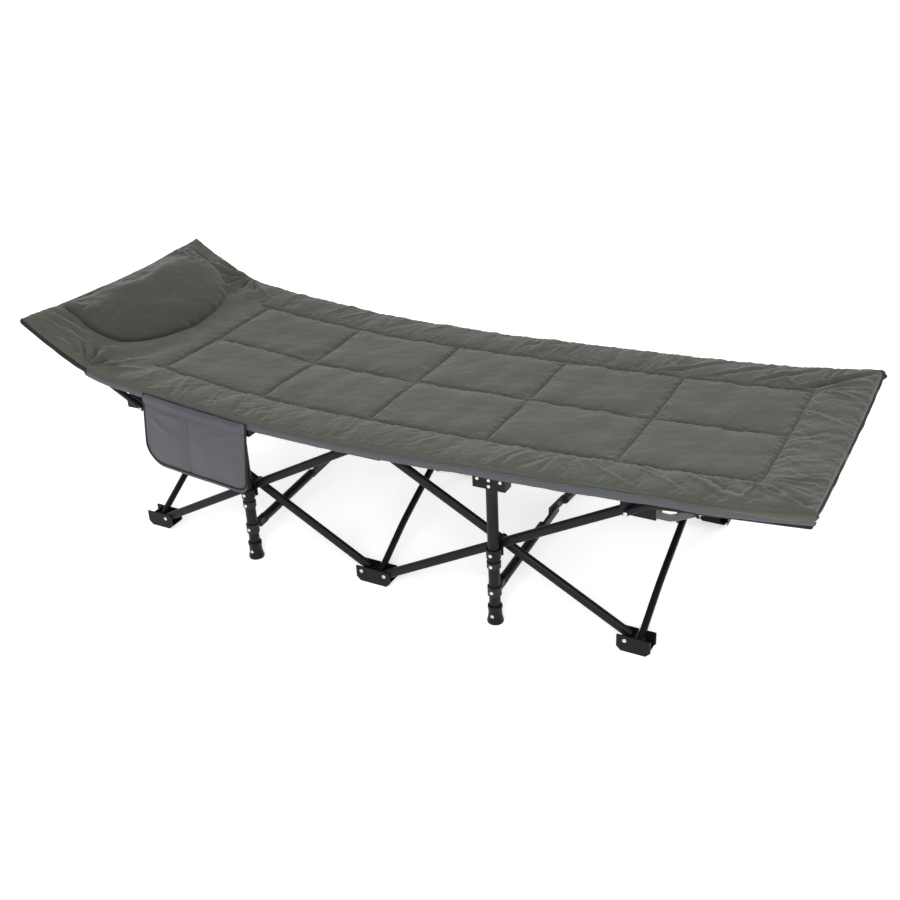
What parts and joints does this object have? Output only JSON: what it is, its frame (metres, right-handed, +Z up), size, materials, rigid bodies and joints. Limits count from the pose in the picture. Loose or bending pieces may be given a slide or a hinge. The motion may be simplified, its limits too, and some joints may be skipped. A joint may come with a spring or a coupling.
{
  "type": "folding cot",
  "caption": "Folding camp cot with a padded quilted deck, raised head panel with pillow and a side pocket, on a scissor frame that folds lengthways and sideways.",
  "frame": {"origin": "centre of the footprint, on the floor", "axes": "+X towards the foot end, +Y towards the side without the pocket, +Z up"},
  "size_m": [1.899, 0.6915, 0.575],
  "materials": {
    "frame": "charcoal powder coat",
    "bracket": "fine moulded texture",
    "deck": "brushed olive grey polyester",
    "pillow": "brushed dark grey polyester",
    "pocket": "coated blue grey polyester"
  },
  "bodies": {
    "foot_middle_near": {"foot_bracket_middle_near": "bracket"},
    "arm_foot_outer_near": {"side_arm_foot_outer_near": "frame", "foot_pole_near": "frame", "deck_foot": "deck"},
    "hub_foot_near": {"leg_hub_foot_near": "bracket"},
    "arm_foot_inner_near": {"side_arm_foot_inner_near": "frame"},
    "top_foot_near": {"top_bracket_foot_near": "bracket"},
    "foot_foot_near": {"foot_bracket_foot_near": "bracket"},
    "leg_foot_near": {"leg_foot_near": "frame", "leg_cap_foot_near": "bracket", "leg_top_foot_near": "bracket"},
    "arm_head_inner_near": {"side_arm_head_inner_near": "frame", "head_pole_near": "frame", "deck_head": "deck", "pillow": "pillow"},
    "hub_head_near": {"leg_hub_head_near": "bracket"},
    "arm_head_outer_near": {"side_arm_head_outer_near": "frame"},
    "foot_head_near": {"foot_bracket_head_near": "bracket"},
    "top_middle_near": {"top_bracket_middle_near": "bracket"},
    "top_head_near": {"top_bracket_head_near": "bracket"},
    "leg_head_near": {"leg_head_near": "frame", "leg_cap_head_near": "bracket", "leg_top_head_near": "bracket", "side_pocket": "pocket"},
    "brace_head_near": {"cross_brace_head_near": "frame"},
    "brace_foot_near": {"cross_brace_foot_near": "frame"},
    "deck_near": {"deck_main_near": "deck"},
    "cross_middle_a": {"cross_arm_middle_a": "frame", "cross_joint_middle": "bracket"},
    "cross_middle_b": {"cross_arm_middle_b": "frame"},
    "foot_middle_far": {"foot_bracket_middle_far": "bracket"},
    "arm_foot_outer_far": {"side_arm_foot_outer_far": "frame", "foot_pole_far": "frame"},
    "hub_foot_far": {"leg_hub_foot_far": "bracket"},
    "arm_foot_inner_far": {"side_arm_foot_inner_far": "frame"},
    "top_foot_far": {"top_bracket_foot_far": "bracket"},
    "foot_foot_far": {"foot_bracket_foot_far": "bracket"},
    "leg_foot_far": {"leg_foot_far": "frame", "leg_cap_foot_far": "bracket", "leg_top_foot_far": "bracket"},
    "arm_head_inner_far": {"side_arm_head_inner_far": "frame", "head_pole_far": "frame"},
    "hub_head_far": {"leg_hub_head_far": "bracket"},
    "arm_head_outer_far": {"side_arm_head_outer_far": "frame"},
    "foot_head_far": {"foot_bracket_head_far": "bracket"},
    "top_middle_far": {"top_bracket_middle_far": "bracket"},
    "top_head_far": {"top_bracket_head_far": "bracket"},
    "leg_head_far": {"leg_head_far": "frame", "leg_cap_head_far": "bracket", "leg_top_head_far": "bracket"},
    "brace_head_far": {"cross_brace_head_far": "frame"},
    "brace_foot_far": {"cross_brace_foot_far": "frame"},
    "deck_far": {"deck_main_far": "deck"},
    "cross_head_a": {"cross_arm_head_a": "frame", "cross_joint_head": "bracket"},
    "cross_head_b": {"cross_arm_head_b": "frame"},
    "cross_foot_a": {"cross_arm_foot_a": "frame", "cross_joint_foot": "bracket"},
    "cross_foot_b": {"cross_arm_foot_b": "frame"}
  },
  "joints": [
    {"name": "fold", "type": "hinge", "parent": "foot_middle_near", "child": "arm_foot_outer_near", "pos_m": [0.0125, -0.286, 0.027], "axis": [0, -1, 0], "range_deg": [0, 46.5], "deforming": ["deck_head", "deck_main_near", "deck_main_far", "deck_foot", "pillow", "side_pocket"]},
    {"name": "hub_foot_turn_near", "type": "hinge", "parent": "arm_foot_outer_near", "child": "hub_foot_near", "pos_m": [0.3025, -0.286, 0.1845], "axis": [0, 1, 0], "range_deg": [0, 47]},
    {"name": "scissor_foot_near", "type": "hinge", "parent": "hub_foot_near", "child": "arm_foot_inner_near", "pos_m": [0.3025, -0.286, 0.1845], "axis": [0, 1, 0], "range_deg": [0, 47]},
    {"name": "top_bracket_foot_turn_near", "type": "hinge", "parent": "arm_foot_outer_near", "child": "top_foot_near", "pos_m": [0.5925, -0.286, 0.342], "axis": [0, 1, 0], "range_deg": [0, 47]},
    {"name": "foot_bracket_foot_turn_near", "type": "hinge", "parent": "arm_foot_inner_near", "child": "foot_foot_near", "pos_m": [0.5925, -0.286, 0.027], "axis": [0, -1, 0], "range_deg": [0, 47]},
    {"name": "leg_foot_slide_near", "type": "slide", "parent": "hub_foot_near", "child": "leg_foot_near", "axis": [0, 0, -1], "range_m": [0, 0.122]},
    {"name": "head_inner_arm_swing_near", "type": "hinge", "parent": "foot_middle_near", "child": "arm_head_inner_near", "pos_m": [-0.0475, -0.286, 0.027], "axis": [0, 1, 0], "range_deg": [0, 47]},
    {"name": "hub_head_turn_near", "type": "hinge", "parent": "arm_head_inner_near", "child": "hub_head_near", "pos_m": [-0.3375, -0.286, 0.1845], "axis": [0, -1, 0], "range_deg": [0, 47]},
    {"name": "scissor_head_near", "type": "hinge", "parent": "hub_head_near", "child": "arm_head_outer_near", "pos_m": [-0.3375, -0.286, 0.1845], "axis": [0, -1, 0], "range_deg": [0, 47]},
    {"name": "foot_bracket_head_turn_near", "type": "hinge", "parent": "arm_head_outer_near", "child": "foot_head_near", "pos_m": [-0.6275, -0.286, 0.027], "axis": [0, 1, 0], "range_deg": [0, 47]},
    {"name": "top_bracket_middle_turn_near", "type": "hinge", "parent": "arm_head_outer_near", "child": "top_middle_near", "pos_m": [-0.0475, -0.286, 0.342], "axis": [0, 1, 0], "range_deg": [0, 47]},
    {"name": "top_bracket_head_turn_near", "type": "hinge", "parent": "arm_head_inner_near", "child": "top_head_near", "pos_m": [-0.6275, -0.286, 0.342], "axis": [0, -1, 0], "range_deg": [0, 47]},
    {"name": "leg_head_slide_near", "type": "slide", "parent": "hub_head_near", "child": "leg_head_near", "axis": [0, 0, -1], "range_m": [0, 0.122]},
    {"name": "brace_head_swing_near", "type": "hinge", "parent": "leg_head_near", "child": "brace_head_near", "pos_m": [-0.3375, -0.2925, 0.082], "axis": [1, 0, 0], "range_deg": [0, 68.2]},
    {"name": "brace_foot_swing_near", "type": "hinge", "parent": "leg_foot_near", "child": "brace_foot_near", "pos_m": [0.3025, -0.2925, 0.082], "axis": [1, 0, 0], "range_deg": [0, 68.2]},
    {"name": "deck_swing_near", "type": "hinge", "parent": "top_middle_near", "child": "deck_near", "pos_m": [-0.0175, -0.29, 0.372], "axis": [-1, 0, 0], "range_deg": [0, 81.88]},
    {"name": "cross_middle_swing", "type": "hinge", "parent": "foot_middle_near", "child": "cross_middle_a", "pos_m": [-0.0175, -0.29, 0.019], "axis": [1, 0, 0], "range_deg": [0, 47]},
    {"name": "cross_middle_scissor", "type": "hinge", "parent": "cross_middle_a", "child": "cross_middle_b", "pos_m": [-0.0175, 0, 0.1765], "axis": [-1, 0, 0], "range_deg": [0, 93.5]},
    {"name": "foot_bracket_middle_turn", "type": "hinge", "parent": "cross_middle_b", "child": "foot_middle_far", "pos_m": [-0.0175, 0.29, 0.019], "axis": [1, 0, 0], "range_deg": [0, 47]},
    {"name": "foot_outer_arm_swing_far", "type": "hinge", "parent": "foot_middle_far", "child": "arm_foot_outer_far", "pos_m": [0.0125, 0.286, 0.027], "axis": [0, -1, 0], "range_deg": [0, 47]},
    {"name": "hub_foot_turn_far", "type": "hinge", "parent": "arm_foot_outer_far", "child": "hub_foot_far", "pos_m": [0.3025, 0.286, 0.1845], "axis": [0, 1, 0], "range_deg": [0, 47]},
    {"name": "scissor_foot_far", "type": "hinge", "parent": "hub_foot_far", "child": "arm_foot_inner_far", "pos_m": [0.3025, 0.286, 0.1845], "axis": [0, 1, 0], "range_deg": [0, 47]},
    {"name": "top_bracket_foot_turn_far", "type": "hinge", "parent": "arm_foot_outer_far", "child": "top_foot_far", "pos_m": [0.5925, 0.286, 0.342], "axis": [0, 1, 0], "range_deg": [0, 47]},
    {"name": "foot_bracket_foot_turn_far", "type": "hinge", "parent": "arm_foot_inner_far", "child": "foot_foot_far", "pos_m": [0.5925, 0.286, 0.027], "axis": [0, -1, 0], "range_deg": [0, 47]},
    {"name": "leg_foot_slide_far", "type": "slide", "parent": "hub_foot_far", "child": "leg_foot_far", "axis": [0, 0, -1], "range_m": [0, 0.122]},
    {"name": "head_inner_arm_swing_far", "type": "hinge", "parent": "foot_middle_far", "child": "arm_head_inner_far", "pos_m": [-0.0475, 0.286, 0.027], "axis": [0, 1, 0], "range_deg": [0, 47]},
    {"name": "hub_head_turn_far", "type": "hinge", "parent": "arm_head_inner_far", "child": "hub_head_far", "pos_m": [-0.3375, 0.286, 0.1845], "axis": [0, -1, 0], "range_deg": [0, 47]},
    {"name": "scissor_head_far", "type": "hinge", "parent": "hub_head_far", "child": "arm_head_outer_far", "pos_m": [-0.3375, 0.286, 0.1845], "axis": [0, -1, 0], "range_deg": [0, 47]},
    {"name": "foot_bracket_head_turn_far", "type": "hinge", "parent": "arm_head_outer_far", "child": "foot_head_far", "pos_m": [-0.6275, 0.286, 0.027], "axis": [0, 1, 0], "range_deg": [0, 47]},
    {"name": "top_bracket_middle_turn_far", "type": "hinge", "parent": "arm_head_outer_far", "child": "top_middle_far", "pos_m": [-0.0475, 0.286, 0.342], "axis": [0, 1, 0], "range_deg": [0, 47]},
    {"name": "top_bracket_head_turn_far", "type": "hinge", "parent": "arm_head_inner_far", "child": "top_head_far", "pos_m": [-0.6275, 0.286, 0.342], "axis": [0, -1, 0], "range_deg": [0, 47]},
    {"name": "leg_head_slide_far", "type": "slide", "parent": "hub_head_far", "child": "leg_head_far", "axis": [0, 0, -1], "range_m": [0, 0.122]},
    {"name": "brace_head_swing_far", "type": "hinge", "parent": "leg_head_far", "child": "brace_head_far", "pos_m": [-0.3375, 0.2925, 0.082], "axis": [-1, 0, 0], "range_deg": [0, 68.2]},
    {"name": "brace_foot_swing_far", "type": "hinge", "parent": "leg_foot_far", "child": "brace_foot_far", "pos_m": [0.3025, 0.2925, 0.082], "axis": [-1, 0, 0], "range_deg": [0, 68.2]},
    {"name": "deck_swing_far", "type": "hinge", "parent": "top_middle_far", "child": "deck_far", "pos_m": [-0.0175, 0.29, 0.372], "axis": [1, 0, 0], "range_deg": [0, 81.88]},
    {"name": "cross_head_swing", "type": "hinge", "parent": "foot_head_near", "child": "cross_head_a", "pos_m": [-0.6635, -0.29, 0.019], "axis": [1, 0, 0], "range_deg": [0, 47]},
    {"name": "cross_head_scissor", "type": "hinge", "parent": "cross_head_a", "child": "cross_head_b", "pos_m": [-0.6635, 0, 0.1765], "axis": [-1, 0, 0], "range_deg": [0, 93.5]},
    {"name": "cross_foot_swing", "type": "hinge", "parent": "foot_foot_near", "child": "cross_foot_a", "pos_m": [0.6285, -0.29, 0.019], "axis": [1, 0, 0], "range_deg": [0, 47]},
    {"name": "cross_foot_scissor", "type": "hinge", "parent": "cross_foot_a", "child": "cross_foot_b", "pos_m": [0.6285, 0, 0.1765], "axis": [-1, 0, 0], "range_deg": [0, 93.5]}
  ],
  "couplings": [
    {"joint": "hub_foot_turn_near", "follows": "fold", "ratio": 1},
    {"joint": "scissor_foot_near", "follows": "fold", "ratio": 1},
    {"joint": "top_bracket_foot_turn_near", "follows": "fold", "ratio": 1},
    {"joint": "foot_bracket_foot_turn_near", "follows": "fold", "ratio": 1},
    {"joint": "leg_foot_slide_near", "follows": "fold", "m_per_rad": 0.14786},
    {"joint": "head_inner_arm_swing_near", "follows": "fold", "ratio": 1},
    {"joint": "hub_head_turn_near", "follows": "fold", "ratio": 1},
    {"joint": "scissor_head_near", "follows": "fold", "ratio": 1},
    {"joint": "foot_bracket_head_turn_near", "follows": "fold", "ratio": 1},
    {"joint": "top_bracket_middle_turn_near", "follows": "fold", "ratio": 1},
    {"joint": "top_bracket_head_turn_near", "follows": "fold", "ratio": 1},
    {"joint": "leg_head_slide_near", "follows": "fold", "m_per_rad": 0.14786},
    {"joint": "brace_head_swing_near", "follows": "fold", "ratio": 1.456},
    {"joint": "brace_foot_swing_near", "follows": "fold", "ratio": 1.456},
    {"joint": "deck_swing_near", "follows": "fold", "ratio": 1.75},
    {"joint": "cross_middle_swing", "follows": "fold", "ratio": 1},
    {"joint": "cross_middle_scissor", "follows": "fold", "ratio": 2},
    {"joint": "foot_bracket_middle_turn", "follows": "fold", "ratio": 1},
    {"joint": "foot_outer_arm_swing_far", "follows": "fold", "ratio": 1},
    {"joint": "hub_foot_turn_far", "follows": "fold", "ratio": 1},
    {"joint": "scissor_foot_far", "follows": "fold", "ratio": 1},
    {"joint": "top_bracket_foot_turn_far", "follows": "fold", "ratio": 1},
    {"joint": "foot_bracket_foot_turn_far", "follows": "fold", "ratio": 1},
    {"joint": "leg_foot_slide_far", "follows": "fold", "m_per_rad": 0.14786},
    {"joint": "head_inner_arm_swing_far", "follows": "fold", "ratio": 1},
    {"joint": "hub_head_turn_far", "follows": "fold", "ratio": 1},
    {"joint": "scissor_head_far", "follows": "fold", "ratio": 1},
    {"joint": "foot_bracket_head_turn_far", "follows": "fold", "ratio": 1},
    {"joint": "top_bracket_middle_turn_far", "follows": "fold", "ratio": 1},
    {"joint": "top_bracket_head_turn_far", "follows": "fold", "ratio": 1},
    {"joint": "leg_head_slide_far", "follows": "fold", "m_per_rad": 0.14786},
    {"joint": "brace_head_swing_far", "follows": "fold", "ratio": 1.456},
    {"joint": "brace_foot_swing_far", "follows": "fold", "ratio": 1.456},
    {"joint": "deck_swing_far", "follows": "fold", "ratio": 1.75},
    {"joint": "cross_head_swing", "follows": "fold", "ratio": 1},
    {"joint": "cross_head_scissor", "follows": "fold", "ratio": 2},
    {"joint": "cross_foot_swing", "follows": "fold", "ratio": 1},
    {"joint": "cross_foot_scissor", "follows": "fold", "ratio": 2}
  ]
}
